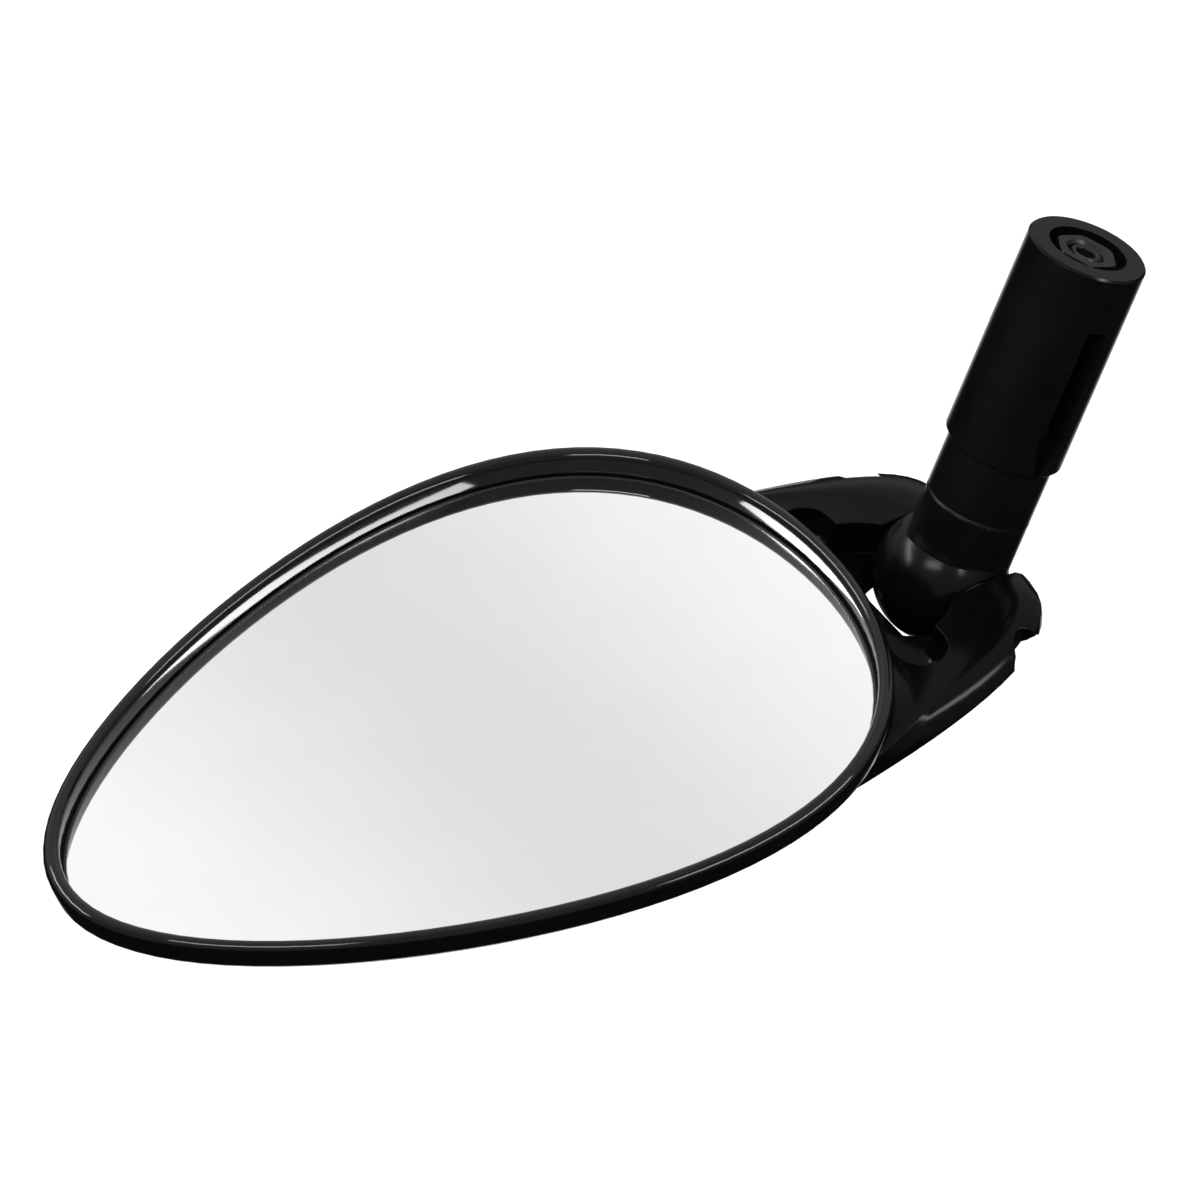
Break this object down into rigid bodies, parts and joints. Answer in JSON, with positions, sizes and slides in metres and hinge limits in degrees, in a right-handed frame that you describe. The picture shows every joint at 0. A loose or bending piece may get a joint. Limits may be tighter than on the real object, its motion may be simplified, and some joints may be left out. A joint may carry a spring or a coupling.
{
  "type": "bar-end motorcycle mirror",
  "caption": "Egg-shaped convex mirror in a gloss-black housing, forked onto a knuckle that folds and swivels on an expanding insert for the end of a handlebar.",
  "frame": {"origin": "on the axis of the expander sleeve, at the end of the sleeve that lies at the handlebar's mouth", "axes": "+X from the narrow end of the glass towards the fork, +Y along the hinge axis towards the nut, +Z out of the face of the glass; the sleeve leaves the origin between +Z and +X"},
  "size_m": [0.1693, 0.0862, 0.0605],
  "materials": {
    "housing_gloss": "smooth injection-moulded gloss black",
    "rim_gloss": "polished gloss black",
    "mirror": "silvered convex glass",
    "seal": "soft black bead",
    "pad": "closed-cell foam",
    "carrier": "fine moulded grain",
    "zinc_steel": "zinc plated",
    "black_steel": "black oxide",
    "washer_steel": "dark plated",
    "black_metal": "satin to gloss black coat",
    "bush_nylon": "black nylon",
    "ring_metal": "plain turned ring"
  },
  "bodies": {
    "insert": {"split_sleeve": "black_metal", "expander_cone": "black_metal", "draw_bolt": "black_steel", "end_nut": "black_steel", "swivel_washer": "ring_metal", "head_washer": "washer_steel", "wave_washer": "washer_steel"},
    "arm": {"knuckle": "black_metal", "near_bush": "bush_nylon", "far_bush": "bush_nylon"},
    "head": {"housing": "housing_gloss", "rim_ring": "rim_gloss", "mirror_glass": "mirror", "glass_seal": "seal", "glass_pad": "pad", "carrier_plate": "carrier", "carrier_screws": "zinc_steel", "hinge_bolt": "black_steel", "spring_washer": "washer_steel", "hinge_nut": "washer_steel"}
  },
  "joints": [
    {"name": "swivel", "type": "hinge", "parent": "insert", "child": "arm", "pos_m": [0, 0, 0], "axis": [0.4305, 0, 0.9026], "continuous": true},
    {"name": "fold", "type": "hinge", "parent": "arm", "child": "head", "pos_m": [-0.01038, 0, -0.01898], "axis": [0, -1, 0], "range_deg": [-45, 65]}
  ]
}
